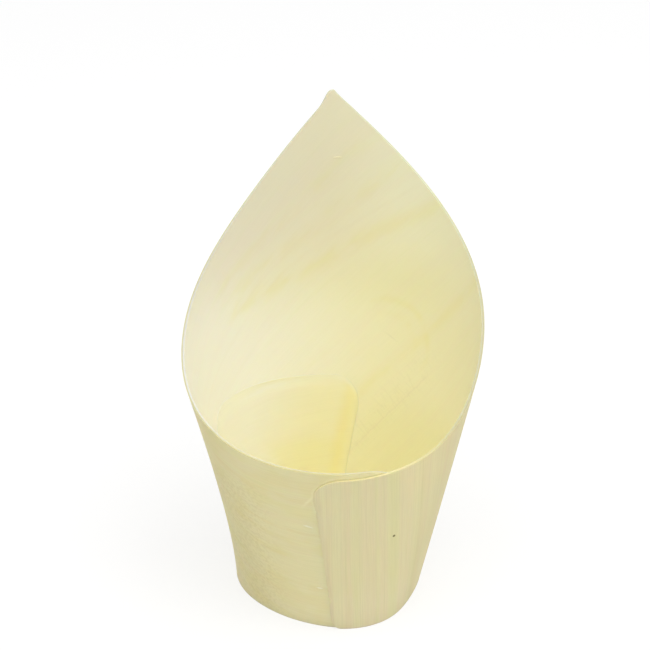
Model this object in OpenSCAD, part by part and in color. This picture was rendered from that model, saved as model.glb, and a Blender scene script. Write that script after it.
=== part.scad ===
// A small serving cone of thin wood.
// One sheet of veneer, cut with a corner of about 90 degrees, is rolled into a cone until
// its two ends lap over each other at the front. The corner stands up as the peak at the
// back, and the two straight cuts beside it become the curved rim. A second piece, of a
// thinner veneer, closes the bottom: a round floor with two legs that turn up along the wall.
// +Z is up and -Y is the front. The origin is the middle of the floor, on the table.
// Azimuth is measured in degrees from the peak at the back, +Y, towards the right side, +X.

/* [Cone] */
// Outside diameter of the wall where it meets the table
bottom_d = 35; // [28:1:44]
// Angle between the wall and the upright axis, in degrees
wall_angle = 14.3; // [10:0.1:18]
// Thickness of the sheet of veneer
veneer = 0.55; // [0.4:0.05:0.9]

/* [Rim] */
// Height of the cut on the left side at its lowest
left_rim_h = 39.8; // [32:0.1:50]
// Height of the cut on the right side at its lowest
right_rim_h = 38.4; // [32:0.1:50]
// Corner of the flat sheet that becomes the peak, in degrees
peak_corner = 87.9; // [86:0.1:96]
// Azimuth of the peak's corner, in degrees
peak_az = 1.7; // [-4:0.1:4]
// How much the corner of the peak is blunted
corner_blunt = 0.4; // [0.2:0.1:2]
// Height of the small point that stands up beside the corner
point_h = 1.05; // [0:0.05:2]
// Distance from the corner to that point, to the left
point_shift = 2.1; // [0:0.1:3]
// Half width of that point
point_w = 1.05; // [0.6:0.05:2]

/* [Seam] */
// Azimuth of the end of the sheet that lies outside, past the front, in degrees
outer_end_az = 185; // [180:1:194]
// Azimuth of the end that lies inside, past the front the other way, in degrees
inner_end_az = -206; // [-212:1:-198]
// How far each end edge turns between the table and the rim, in degrees of azimuth
end_tilt = 7; // [0:1:12]
// Radius of the outer end's corner at the rim
outer_corner_r = 5; // [1:0.1:8]
// Radius of the inner end's corner at the rim
inner_corner_r = 8; // [1:0.1:10]
// Radius of the two corners of the sheet at the table
foot_corner_r = 2.2; // [0.6:0.1:4]
// Film of glue between the two layers of the lap
glue = 0.05; // [0.04:0.01:0.15]
// Azimuth over which a layer steps aside to make room for the other one, in degrees
lap_ramp = 30; // [20:1:40]

/* [Section at the table] */
// How oval the cone is, as a share of its radius
foot_oval_share = 0.051; // [0:0.001:0.08]
// Azimuth of the long way of the oval, in degrees
foot_oval_az = -37.1; // [-90:0.1:90]
// How three-cornered the cone is, as a share of its radius
foot_lobe_share = 0.052; // [0:0.001:0.08]
// Azimuth of one of the three corners, in degrees
foot_lobe_az = -59.1; // [-60:0.1:60]
// How four-cornered the cone is, as a share of its radius
foot_square_share = 0.02; // [0:0.001:0.04]
// Azimuth of one of the four corners, in degrees
foot_square_az = -29.2; // [-45:0.1:45]

/* [Section at the rim] */
// How oval the cone is, as a share of its radius
rim_oval_share = 0.031; // [0:0.001:0.06]
// Azimuth of the long way of the oval, in degrees
rim_oval_az = 11.8; // [-90:0.1:90]
// How three-cornered the cone is, as a share of its radius
rim_lobe_share = 0.017; // [0:0.001:0.04]
// Azimuth of one of the three corners, in degrees
rim_lobe_az = 51; // [-60:0.1:60]
// How four-cornered the cone is, as a share of its radius
rim_square_share = 0.014; // [0:0.001:0.03]
// Azimuth of one of the four corners, in degrees
rim_square_az = -39; // [-45:0.1:45]

/* [Bulge at the table] */
// How far the wall is pushed out where the bottom piece presses on it
bulge = 2; // [0:0.1:3]
// Azimuth of the middle of the bulge, in degrees
bulge_az = -95; // [-150:1:-40]
// Height over which the bulge dies away
bulge_h = 10.9; // [6:0.1:16]

/* [Bottom] */
// Thickness of the bottom piece
bottom_t = 0.4; // [0.3:0.05:0.9]
// Azimuth of the leg that shows inside, in degrees
leg_az = -29; // [-60:1:0]
// Azimuth that each leg covers at its top, in degrees
leg_span = 88; // [60:1:110]
// Azimuth that each leg covers at the floor, in degrees
leg_foot_span = 64; // [50:1:100]
// How far the legs stop below the lowest part of the rim
leg_drop = 6.4; // [4:0.1:14]
// Radius of the corners of the legs
leg_corner_r = 7; // [2:0.1:9]
// Outside radius of the bend between the floor and a leg
bend_r = 3; // [2:0.1:5]
// Clearance between the bottom piece and the wall
seat_gap = 0.1; // [0.05:0.01:0.2]

/* [Hidden] */

wood = [0.86, 0.80, 0.62];
bottom_wood = [0.88, 0.82, 0.60];
deg = 180 / PI;
bottom_r = bottom_d / 2;
lean = tan(wall_angle);
// Wall and lap measured level, because the wall leans
level_veneer = veneer / cos(wall_angle);
lap_step = (veneer + glue) / cos(wall_angle);
// The inner layer takes this share of the step, and the outer layer the rest
inner_step_share = 0.5;

// Counts for the mesh of the sheet
rows = 6;
side_steps = 60;
peak_steps = 8;
corner_steps = 6;
peak_zone = 10;
tilt_zone = 40;

// Counts for the mesh of the bottom
floor_rows = 2;
bend_rows = 5;
leg_rows = 5;
leg_steps = 16;
gap_steps = 16;

// The flat sheet
// Depth of the cone's point below the table, and the angle that one turn takes in the flat
point_depth = bottom_r / lean;
section_length_share = 1.006;
turn_flat = 360 * sin(wall_angle) * section_length_share;
// Distance of each straight cut from the cone's point
left_cut = (left_rim_h + point_depth) / cos(wall_angle);
right_cut = (right_rim_h + point_depth) / cos(wall_angle);
// Flat angle from the peak to the place where a cut is nearest to the cone's point
foot_flat = (180 - peak_corner) / 2;
peak_reach = (left_cut + right_cut) / 2 / cos(foot_flat);
corner_blend = corner_blunt / pow(peak_reach, 2);
peak_r = peak_reach * sin(wall_angle);

function flat(az) = (az - peak_az) * turn_flat / 360;

// Height of the rim: both cuts are straight in the flat, and the small point stands on them
function cut_z(az) =
    let (l = cos(foot_flat + flat(az)) / left_cut,
         r = cos(foot_flat - flat(az)) / right_cut)
    2 / (l + r + sqrt(pow(l - r, 2) + pow(corner_blend, 2))) * cos(wall_angle) - point_depth;
function rim_z(az) =
    cut_z(az) + point_h * exp(-pow(((az - peak_az) / deg * peak_r + point_shift) / point_w, 2));

// The section of the cone changes evenly from the table to the rim and on up to the peak
section_h = (left_rim_h + right_rim_h) / 2;
function foot_section(az) =
    foot_oval_share * cos(2 * (az - foot_oval_az)) + foot_lobe_share * cos(3 * (az - foot_lobe_az))
    + foot_square_share * cos(4 * (az - foot_square_az));
function rim_section(az) =
    rim_oval_share * cos(2 * (az - rim_oval_az)) + rim_lobe_share * cos(3 * (az - rim_lobe_az))
    + rim_square_share * cos(4 * (az - rim_square_az));
function section(az, z) =
    let (up = z / section_h) 1 + foot_section(az) * (1 - up) + rim_section(az) * up;
bulge_power = 5;
function bulge_r(az, z) =
    bulge * pow((1 + cos(az - bulge_az)) / 2, bulge_power) * exp(-z / bulge_h);
// Radius of the outer face at a height
function wall_r(az, z) = (bottom_r + z * lean) * section(az, z) + bulge_r(az, z);

function smooth(x) = x <= 0 ? 0 : x >= 1 ? 1 : x * x * (3 - 2 * x);
function at(az, r, z) = [r * sin(az), r * cos(az), z];

// Where each layer has stepped aside in full: one ramp before the other layer's end
inner_full_az = 360 - outer_end_az - end_tilt / 2;
outer_full_az = 360 + inner_end_az - end_tilt / 2;
function lap_shift(az) =
    lap_step * ((1 - inner_step_share) * smooth((az - outer_full_az) / lap_ramp + 1)
                - inner_step_share * smooth((-az - inner_full_az) / lap_ramp + 1));

// The two ends of the sheet
front_r = bottom_r + right_rim_h * lean;
// Angle from a column to each end, in radians
function to_outer_end(az) = (outer_end_az - az) / deg;
function to_inner_end(az) = (az - inner_end_az) / deg;
function end_weight(az) =
    max(0, 1 - (outer_end_az - az) / tilt_zone) - max(0, 1 - (az - inner_end_az) / tilt_zone);
function tilted_az(az, v) = az + (v - 1 / 2) * end_tilt * end_weight(az);
function corner_cut(d, r) = d >= r ? 0 : r - sqrt(r * r - pow(r - d, 2));
function sheet_top(az) =
    rim_z(tilted_az(az, 1)) - corner_cut(to_outer_end(az) * front_r, outer_corner_r)
    - corner_cut(to_inner_end(az) * front_r, inner_corner_r);
function sheet_foot(az) =
    corner_cut(min(to_outer_end(az), to_inner_end(az)) * bottom_r, foot_corner_r);

// Azimuths of the columns, closer together at the corners and at the peak
function corner_az(r, k) =
    max(r / front_r, foot_corner_r / bottom_r) * (1 - cos(90 * k / corner_steps)) * deg;
sheet_az = concat(
    [for (k = [0 : corner_steps]) inner_end_az + corner_az(inner_corner_r, k)],
    [for (i = [1 : side_steps])
        let (a = inner_end_az + corner_az(inner_corner_r, corner_steps))
        a + (-peak_zone - a) * i / side_steps],
    [for (i = [1 : peak_steps]) -peak_zone * pow(1 - i / peak_steps, 2)],
    [for (i = [1 : peak_steps]) peak_zone * pow(i / peak_steps, 2)],
    [for (i = [1 : side_steps])
        let (b = outer_end_az - corner_az(outer_corner_r, corner_steps))
        peak_zone + (b - peak_zone) * i / side_steps],
    [for (k = [1 : corner_steps]) outer_end_az - corner_az(outer_corner_r, corner_steps - k)]);

function sheet_point(c, j, inside) =
    let (v = j / rows,
         a = tilted_az(sheet_az[c], v),
         z = sheet_foot(sheet_az[c]) * (1 - v) + sheet_top(sheet_az[c]) * v)
    at(a, wall_r(a, z) + lap_shift(a) - inside * level_veneer, z);

// A face with four corners, as two triangles
function quad(a, b, c, d) = [[a, b, c], [a, c, d]];

module rolled_sheet() {
    cols = len(sheet_az);
    last = cols - 1;
    function out(c, j) = c * (rows + 1) + j;
    function inn(c, j) = (cols + c) * (rows + 1) + j;
    color(wood)
    polyhedron(
        points = [for (inside = [0, 1], c = [0 : last], j = [0 : rows]) sheet_point(c, j, inside)],
        faces = [
            for (c = [0 : last - 1], j = [0 : rows - 1])
                each quad(out(c, j), out(c + 1, j), out(c + 1, j + 1), out(c, j + 1)),
            for (c = [0 : last - 1], j = [0 : rows - 1])
                each quad(inn(c, j), inn(c, j + 1), inn(c + 1, j + 1), inn(c + 1, j)),
            for (c = [0 : last - 1])
                each quad(out(c, rows), out(c + 1, rows), inn(c + 1, rows), inn(c, rows)),
            for (c = [0 : last - 1])
                each quad(out(c, 0), inn(c, 0), inn(c + 1, 0), out(c + 1, 0)),
            for (j = [0 : rows - 1])
                each quad(out(0, j), out(0, j + 1), inn(0, j + 1), inn(0, j)),
            for (j = [0 : rows - 1])
                each quad(out(last, j + 1), out(last, j), inn(last, j), inn(last, j + 1))]);
}

// The bottom piece
// The lap reaches this far to either side of the front
lap_half = max(-inner_end_az - 180, outer_end_az - 180) + end_tilt / 2;
// Outer face of the bottom piece at a height, clear of the wall and of the lap
function seat_r(az, z) =
    let (front = abs(az > 0 ? az - 180 : az + 180),
         room = inner_step_share * lap_step * smooth(1 - max(0, front - lap_half) / lap_ramp))
    wall_r(az, z) - level_veneer - seat_gap - room;

leg_h = min(left_rim_h, right_rim_h) - leg_drop;
leg_r = bottom_r + leg_h * lean;
edge_az = leg_corner_r / leg_r * deg;

// Places of a leg's columns across it, from -1 to 1, closer together at its round corners
side_share = edge_az / (leg_span / 2);
half_shares = concat(
    [for (k = [0 : corner_steps]) 1 - side_share * (1 - cos(90 * k / corner_steps))],
    [for (i = [1 : leg_steps / 2]) (1 - side_share) * (1 - 2 * i / leg_steps)]);
leg_cols = 2 * len(half_shares) - 2;
function across_share(k) = k < len(half_shares) ? -half_shares[k] : half_shares[leg_cols - k];

// Columns all the way round: the first leg, a gap, the second leg and a gap
gap_span = 180 - leg_foot_span;
part_cols = leg_cols + gap_steps;
insert_cols = 2 * part_cols;
function leg_column(c) = min(c % part_cols, leg_cols);
function gap_column(c) = max(0, c % part_cols - leg_cols);
function middle_az(c) = leg_az + (c < part_cols ? 0 : 180);
function foot_az(c) =
    middle_az(c) + across_share(leg_column(c)) * leg_foot_span / 2
    + gap_column(c) * gap_span / gap_steps;
// A leg widens evenly from its bend, where up is 0, to its top, where up is 1
function leg_side_az(c, up) =
    middle_az(c) + across_share(leg_column(c)) * (leg_foot_span * (1 - up) + leg_span * up) / 2;

// Height of a leg's upper edge at a column, with round corners
function leg_top(c) =
    let (to_side = (1 - abs(across_share(leg_column(c)))) * leg_span / 2 / deg * leg_r)
    leg_h - corner_cut(to_side, leg_corner_r);

// Path of the lower face from the middle of the floor out, as
// [azimuth, radius, height, tilt of the face]
// The bend runs into the wall at the wall's own slope just above the table
function foot_lean(az) = atan((seat_r(az, bend_r) - seat_r(az, 0)) / bend_r);
function bend_top(az) = bend_r * (1 - sin(foot_lean(az)));
function bend_centre(az) =
    seat_r(az, 0) + bend_r * (sin(foot_lean(az)) - 1) / cos(foot_lean(az));
function floor_path(c, j) =
    [foot_az(c), bend_centre(foot_az(c)) * (j + 1) / (floor_rows + 1), 0, 0];
function gap_path(c) = [foot_az(c), seat_r(foot_az(c), 0), 0, 0];
function leg_path(c, j) =
    j <= bend_rows ? bend_path(foot_az(c), j / bend_rows) : climb_path(c, (j - bend_rows) / leg_rows);
function bend_path(az, up) =
    let (turn = (90 - foot_lean(az)) * up)
    [az, bend_centre(az) + bend_r * sin(turn), bend_r * (1 - cos(turn)), turn];
function climb_path(c, up) =
    let (low = bend_top(foot_az(c)),
         z = low + (leg_top(c) - low) * up,
         az = leg_side_az(c, (z - low) / (leg_h - low)),
         tilt = foot_lean(az) * (1 - up) + wall_angle * up)
    [az, seat_r(az, z), z, 90 - tilt];

// The upper face lies one thickness inside the lower one
function insert_point(p, inside) =
    at(p[0], p[1] - inside * bottom_t * sin(p[3]), p[2] + inside * bottom_t * cos(p[3]));

module bottom_insert() {
    path_rows = bend_rows + leg_rows;
    // Each column holds the floor's points, then a leg's, then a gap's
    column = floor_rows + 1 + path_rows + 1;
    rim = floor_rows;
    function leg_j(j) = j == 0 ? rim : rim + j;
    function gap_j(j) = j == 0 ? rim : rim + path_rows + j;
    function low(c, j) = (c % insert_cols) * column + j;
    function high(c, j) = (insert_cols + c % insert_cols) * column + j;
    low_middle = 2 * insert_cols * column;
    high_middle = low_middle + 1;
    function in_leg(c) = c % part_cols < leg_cols;
    color(bottom_wood)
    polyhedron(
        points = concat(
            [for (inside = [0, 1], c = [0 : insert_cols - 1]) each concat(
                [for (j = [0 : floor_rows]) insert_point(floor_path(c, j), inside)],
                [for (j = [1 : path_rows]) insert_point(leg_path(c, j), inside)],
                [insert_point(gap_path(c), inside)])],
            [[0, 0, 0], [0, 0, bottom_t]]),
        faces = [
            for (c = [0 : insert_cols - 1])
                each [[low_middle, low(c + 1, 0), low(c, 0)],
                      [high_middle, high(c, 0), high(c + 1, 0)]],
            for (c = [0 : insert_cols - 1], j = [0 : floor_rows - 1])
                each concat(quad(low(c, j), low(c + 1, j), low(c + 1, j + 1), low(c, j + 1)),
                            quad(high(c, j), high(c, j + 1), high(c + 1, j + 1), high(c + 1, j))),
            for (c = [0 : insert_cols - 1]) if (in_leg(c)) each [
                for (j = [0 : path_rows - 1])
                    let (a = leg_j(j), b = leg_j(j + 1))
                    each concat(quad(low(c, a), low(c + 1, a), low(c + 1, b), low(c, b)),
                                quad(high(c, a), high(c, b), high(c + 1, b), high(c + 1, a))),
                each let (b = leg_j(path_rows)) quad(low(c, b), low(c + 1, b), high(c + 1, b), high(c, b))],
            for (c = [0 : insert_cols - 1]) if (!in_leg(c)) each
                let (a = rim, b = gap_j(1))
                concat(quad(low(c, a), low(c + 1, a), low(c + 1, b), low(c, b)),
                       quad(high(c, a), high(c, b), high(c + 1, b), high(c + 1, a)),
                       quad(low(c, b), low(c + 1, b), high(c + 1, b), high(c, b))),
            for (leg = [0, 1]) each
                let (s = leg * part_cols, e = s + leg_cols)
                concat(
                    [for (j = [0 : path_rows - 1]) let (a = leg_j(j), b = leg_j(j + 1))
                        each quad(low(s, a), low(s, b), high(s, b), high(s, a))],
                    [for (j = [0 : path_rows - 1]) let (a = leg_j(j), b = leg_j(j + 1))
                        each quad(low(e, b), low(e, a), high(e, a), high(e, b))],
                    quad(low(s, gap_j(1)), low(s, rim), high(s, rim), high(s, gap_j(1))),
                    quad(low(e, rim), low(e, gap_j(1)), high(e, gap_j(1)), high(e, rim)))]);
}

rolled_sheet();
bottom_insert();
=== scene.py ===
"""Dresses the serving cone: the rolled sheet and the bottom piece in veneer, on a pale floor."""
import math

import bmesh
import bpy
import numpy as np
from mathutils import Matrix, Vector


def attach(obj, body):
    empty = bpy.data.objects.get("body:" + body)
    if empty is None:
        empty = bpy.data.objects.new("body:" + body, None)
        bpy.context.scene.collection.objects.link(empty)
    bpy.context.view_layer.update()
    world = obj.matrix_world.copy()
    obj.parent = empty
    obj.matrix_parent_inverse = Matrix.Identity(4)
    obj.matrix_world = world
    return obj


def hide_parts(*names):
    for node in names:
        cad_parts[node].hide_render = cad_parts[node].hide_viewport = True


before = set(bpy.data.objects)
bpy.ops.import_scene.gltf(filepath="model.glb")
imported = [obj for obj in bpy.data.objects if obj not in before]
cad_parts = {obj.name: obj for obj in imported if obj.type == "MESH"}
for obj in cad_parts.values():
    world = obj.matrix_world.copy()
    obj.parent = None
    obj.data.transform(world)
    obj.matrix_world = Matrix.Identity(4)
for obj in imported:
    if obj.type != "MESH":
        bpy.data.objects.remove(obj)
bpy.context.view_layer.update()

# Lengths below are in millimetres, and meshes are made in metres with this factor.
# Azimuth is in degrees from the peak at the back, +Y, towards the right side, +X.
MM = 0.001

# The cone, as the frame has it
BOTTOM_R = 17.5
WALL_ANGLE = 14.3
VENEER = 0.55
LEFT_RIM_H = 39.8
RIGHT_RIM_H = 38.4
PEAK_CORNER = 87.9
PEAK_AZ = 1.7
CORNER_BLUNT = 0.4
POINT_H = 1.05
POINT_SHIFT = 2.1
POINT_W = 1.05
OUTER_END_AZ = 185
INNER_END_AZ = -206
END_TILT = 7
OUTER_CORNER_R = 5
INNER_CORNER_R = 8
FOOT_CORNER_R = 2.2
GLUE = -0.05
LAP_RAMP = 30
# Order, share of the radius and azimuth of each way in which the section leaves a circle
FOOT_SHARES = ((2, 0.051, -37.1), (3, 0.052, -59.1), (4, 0.020, -29.2))
RIM_SHARES = ((2, 0.031, 11.8), (3, 0.017, 51.0), (4, 0.014, -39.0))
BULGE = 2.0
BULGE_AZ = -95
BULGE_H = 10.9
BULGE_POWER = 5
# Length of the section as a share of a circle's
SECTION_LENGTH_SHARE = 1.006
# Flat angle between the line to the peak and the grain
GRAIN_TURN = 45

# How much of the outer layer's face is worn off at its end, and how far from the end
END_WORN = 0.28
WORN_WIDTH = 1.3
# How far the outer end is torn back here and there, and where that fades out, in degrees
TORN_AZ = 0.28
TORN_FADE = 1.2
# The tears are random, and evened out along the edge with these weights
TORN_SEED = 7
TORN_WEIGHTS = (0.2, 0.6, 1, 0.6, 0.2)
# Slivers that stand off the veneer: place of the fast end and of the free end, each as azimuth
# and height, then width, lift of the free end, and side, which is 1 outside and -1 inside
SLIVERS = (
    ((0.0, 74.2), (2.6, 74.2), 0.20, 0.20, -1),
    ((-171.0, 26.0), (-166.6, 26.5), 0.44, 0.20, 1),
    ((-174.4, 10.2), (-171.0, 10.4), 0.38, 0.18, 1))
# How deep a sliver's near face is sunk into the veneer where it is fast, and its thickness
SLIVER_SUNK = 0.035
SLIVER_T = 0.105
# A sliver is as wide as an arch of this power, cut off by this share at its ends, and its far
# face has this share of that width
SLIVER_FULLNESS = 0.7
SLIVER_BLUNT_SHARE = 0.04
SLIVER_FAR_SHARE = 0.7

# The bottom piece
BOTTOM_T = 0.4
LEG_AZ = -29
LEG_SPAN = 88
LEG_FOOT_SPAN = 64
LEG_DROP = 6.4
LEG_CORNER_R = 7
BEND_R = 3
SEAT_GAP = -0.03
# The bottom piece is pared down to this share of its thickness over this distance from an edge
THIN_SHARE = 0.28
THIN_WIDTH = 2.4
# Stands for a place that is far from every edge of the bottom piece
MIDDLE = 40

# The photograph's view: it looks down at the cone from the front
VIEW_DOWN = 27.5
VIEW_DISTANCE = 552.6
VIEW_TARGET = (-1.63, 0, 56.19)
LENS = 161.36
SENSOR = 36

# Mesh density
ROWS = 108
SIDE_STEPS = 140
PEAK_STEPS = 26
CORNER_STEPS = 14
PEAK_ZONE = 10
TILT_ZONE = 40
FLOOR_ROWS = 24
BEND_ROWS = 14
LEG_ROWS = 40
LEG_STEPS = 80
GAP_STEPS = 56
SLIVER_STEPS = 12

# Rounding of the cut edges: its width on the sheet and on the bottom piece, the angle between
# two faces from which an edge is rounded, in degrees, and its steps
ARRIS = 0.06
THIN_ARRIS = 0.03
ARRIS_ANGLE = 50
ARRIS_STEPS = 2

LEAN = math.tan(math.radians(WALL_ANGLE))
COS_WALL = math.cos(math.radians(WALL_ANGLE))
DEG = 180 / math.pi
LEVEL_VENEER = VENEER / COS_WALL
LAP_STEP = (VENEER + GLUE) / COS_WALL
HALF_STEP = LAP_STEP / 2
POINT_DEPTH = BOTTOM_R / LEAN
TURN_FLAT = 360 * math.sin(math.radians(WALL_ANGLE)) * SECTION_LENGTH_SHARE
LEFT_CUT = (LEFT_RIM_H + POINT_DEPTH) / COS_WALL
RIGHT_CUT = (RIGHT_RIM_H + POINT_DEPTH) / COS_WALL
FOOT_FLAT = (180 - PEAK_CORNER) / 2
PEAK_REACH = (LEFT_CUT + RIGHT_CUT) / 2 / math.cos(math.radians(FOOT_FLAT))
CORNER_BLEND = CORNER_BLUNT / PEAK_REACH ** 2
PEAK_R = PEAK_REACH * math.sin(math.radians(WALL_ANGLE))
SECTION_H = (LEFT_RIM_H + RIGHT_RIM_H) / 2
FRONT_R = BOTTOM_R + RIGHT_RIM_H * LEAN
# The outer end's azimuth at the table, and by how much it goes on for each millimetre up
END_FOOT_AZ = OUTER_END_AZ - END_TILT / 2
END_SLOPE = END_TILT / RIGHT_RIM_H
# How far the lap reaches to either side of the front, in degrees
LAP_HALF = max(-INNER_END_AZ - 180, OUTER_END_AZ - 180) + END_TILT / 2
LEG_H = min(LEFT_RIM_H, RIGHT_RIM_H) - LEG_DROP
LEG_R = BOTTOM_R + LEG_H * LEAN


def cosd(angle):
    return np.cos(np.radians(angle))


def sind(angle):
    return np.sin(np.radians(angle))


def smooth(x):
    x = np.clip(x, 0, 1)
    return x * x * (3 - 2 * x)


def flat(az):
    return (az - PEAK_AZ) * TURN_FLAT / 360


def rim_z(az):
    """Height of the rim: two straight cuts in the flat, with a small point beside the peak."""
    left = cosd(FOOT_FLAT + flat(az)) / LEFT_CUT
    right = cosd(FOOT_FLAT - flat(az)) / RIGHT_CUT
    reach = 2 / (left + right + np.sqrt((left - right) ** 2 + CORNER_BLEND ** 2))
    off = (az - PEAK_AZ) / DEG * PEAK_R + POINT_SHIFT
    return reach * COS_WALL - POINT_DEPTH + POINT_H * np.exp(-(off / POINT_W) ** 2)


def departure(shares, az):
    """How far the section leaves a circle, as a share of its radius."""
    return sum(share * cosd(order * (az - at)) for order, share, at in shares)


def wall_r(az, z):
    """Radius of the sheet's outer face."""
    up = z / SECTION_H
    section = 1 + departure(FOOT_SHARES, az) * (1 - up) + departure(RIM_SHARES, az) * up
    bulge = ((1 + cosd(az - BULGE_AZ)) / 2) ** BULGE_POWER * np.exp(-z / BULGE_H)
    return (BOTTOM_R + z * LEAN) * section + BULGE * bulge


def lap_shift(az):
    """Each layer steps half a veneer aside where the other one lies over it."""
    inner_full = 360 - OUTER_END_AZ - END_TILT / 2
    outer_full = 360 + INNER_END_AZ - END_TILT / 2
    out = smooth((az - outer_full) / LAP_RAMP + 1)
    inward = smooth((-az - inner_full) / LAP_RAMP + 1)
    return HALF_STEP * (out - inward)


def corner_cut(distance, radius):
    """How much a round corner takes off at a distance from the edge."""
    return radius - np.sqrt(radius ** 2 - np.clip(radius - distance, 0, radius) ** 2)


def at(az, r, z):
    return np.stack([r * sind(az), r * cosd(az), z + 0 * az], axis=-1)


def grain_of(az, z):
    """Place on the flat sheet, along and across the grain. It runs along the outer end."""
    reach = (z + POINT_DEPTH) / COS_WALL
    turn = flat(az) - GRAIN_TURN
    return reach * cosd(turn), reach * sind(turn)


def grid_faces(index):
    """Quads over a grid of point numbers."""
    a, b = index[:-1, :-1], index[1:, :-1]
    c, d = index[1:, 1:], index[:-1, 1:]
    return np.stack([a, b, c, d], axis=-1).reshape(-1, 4)


def closed_mesh(name, points, faces):
    """A mesh in metres whose faces all look outward."""
    mesh = bpy.data.meshes.new(name)
    mesh.from_pydata((points * MM).tolist(), [], faces)
    shape = bmesh.new()
    shape.from_mesh(mesh)
    bmesh.ops.recalc_face_normals(shape, faces=shape.faces)
    shape.to_mesh(mesh)
    shape.free()
    return mesh


def mesh_piece(name, points, faces, marks, arris):
    """A piece with its marks, one vector a point, and with its arrises taken off."""
    mesh = closed_mesh(name, points, faces)
    for key, values in marks.items():
        layer = mesh.attributes.new(key, "FLOAT_VECTOR", "POINT")
        layer.data.foreach_set("vector", values.astype(np.float32).ravel())
    mesh.polygons.foreach_set("use_smooth", [True] * len(mesh.polygons))
    piece = bpy.data.objects.new(name, mesh)
    bpy.context.scene.collection.objects.link(piece)
    bevel = piece.modifiers.new("arris", "BEVEL")
    bevel.limit_method = "ANGLE"
    bevel.angle_limit = math.radians(ARRIS_ANGLE)
    bevel.width = arris * MM
    bevel.segments = ARRIS_STEPS
    bevel.harden_normals = True
    return piece


def corner_az(radius):
    """Azimuths from an end of the sheet past its round corners, closer together at the end.

    The two columns nearest to the end are left out, because its rounding needs their room.
    """
    reach = max(radius / FRONT_R, FOOT_CORNER_R / BOTTOM_R) * DEG
    turns = np.delete(np.linspace(0, 90, CORNER_STEPS + 1), (1, 2))
    return reach * (1 - cosd(turns))


def sheet_azimuths():
    """Columns of the sheet, closer together at its round corners and at the peak."""
    start = INNER_END_AZ + corner_az(INNER_CORNER_R)
    end = (OUTER_END_AZ - corner_az(OUTER_CORNER_R))[::-1]
    peak = PEAK_ZONE * np.linspace(0, 1, PEAK_STEPS + 1) ** 2
    left = np.linspace(start[-1], -PEAK_ZONE, SIDE_STEPS + 1)[1:-1]
    right = np.linspace(PEAK_ZONE, end[0], SIDE_STEPS + 1)[1:-1]
    return np.concatenate([start, left, -peak[::-1], peak[1:], right, end])


def torn_end(count):
    """How far the outer end's edge is torn back, in degrees, from the table to the rim."""
    rng = np.random.default_rng(TORN_SEED)
    rough = np.convolve(rng.normal(size=count + len(TORN_WEIGHTS) - 1), TORN_WEIGHTS, "valid")
    return TORN_AZ * np.abs(rough)[None, :]


def build_sheet():
    az0 = sheet_azimuths()[:, None]
    v = np.linspace(0, 1, ROWS + 1)[None, :]
    to_outer, to_inner = OUTER_END_AZ - az0, az0 - INNER_END_AZ
    weight = np.maximum(0, 1 - to_outer / TILT_ZONE) - np.maximum(0, 1 - to_inner / TILT_ZONE)
    az = az0 + (v - 0.5) * END_TILT * weight - torn_end(ROWS + 1) * np.exp(-to_outer / TORN_FADE)
    top = rim_z(az0 + END_TILT / 2 * weight)
    top = top - corner_cut(to_outer / DEG * FRONT_R, OUTER_CORNER_R)
    top = top - corner_cut(to_inner / DEG * FRONT_R, INNER_CORNER_R)
    foot = corner_cut(np.minimum(to_outer, to_inner) / DEG * BOTTOM_R, FOOT_CORNER_R)
    z = foot * (1 - v) + top * v
    outer_r = wall_r(az, z) + lap_shift(az)
    worn = END_WORN * smooth(1 - to_outer / DEG * FRONT_R / WORN_WIDTH)
    points = np.concatenate([at(az, outer_r - worn, z), at(az, outer_r - LEVEL_VENEER, z)])
    cols, rows = az.shape
    out = np.arange(cols * rows).reshape(cols, rows)
    inn = out + cols * rows
    faces = np.concatenate([
        grid_faces(out), grid_faces(inn[::-1]),
        grid_faces(np.stack([out[:, -1], inn[:, -1]], axis=1)),
        grid_faces(np.stack([inn[:, 0], out[:, 0]], axis=1)),
        grid_faces(np.stack([inn[0], out[0]])),
        grid_faces(np.stack([out[-1], inn[-1]]))])
    along, across = grain_of(az, z)
    grain = np.stack([along, across, 0 * z], axis=-1)
    outside = np.stack([az, z, 0 * z], axis=-1)
    inside = np.stack([az, z, 0 * z + 1], axis=-1)
    marks = {"grain": np.concatenate([grain, grain]), "place": np.concatenate([outside, inside])}
    return mesh_piece("sheet", points.reshape(-1, 3), faces.tolist(), marks, ARRIS)


def build_slivers():
    """Thin pointed slivers of the same veneer, fast at one end and lifted at the other."""
    points, faces = [], []
    t = np.linspace(0, 1, SLIVER_STEPS)
    for start, end, width, lift, side in SLIVERS:
        az = start[0] + (end[0] - start[0]) * t
        z = start[1] + (end[1] - start[1]) * t
        arch = np.sin(math.pi * (SLIVER_BLUNT_SHARE + (1 - 2 * SLIVER_BLUNT_SHARE) * t))
        half = width / 2 * arch ** SLIVER_FULLNESS
        far_half = SLIVER_FAR_SHARE * half
        face_r = wall_r(az, z) + lap_shift(az) - (LEVEL_VENEER if side < 0 else 0)
        near_r = face_r + side * (lift * t ** 2 - SLIVER_SUNK)
        far_r = near_r + side * SLIVER_T
        rings = np.stack([at(az, near_r, z - half), at(az, far_r, z - far_half),
                          at(az, far_r, z + far_half), at(az, near_r, z + half)], axis=1)
        index = np.arange(4 * SLIVER_STEPS).reshape(SLIVER_STEPS, 4) + 4 * SLIVER_STEPS * len(points)
        around = np.concatenate([index, index[:, :1]], axis=1)
        faces += grid_faces(around).tolist() + index[[0, -1]].tolist()
        points.append(rings.reshape(-1, 3))
    mesh = closed_mesh("slivers", np.concatenate(points), faces)
    piece = bpy.data.objects.new("slivers", mesh)
    bpy.context.scene.collection.objects.link(piece)
    return piece


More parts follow.
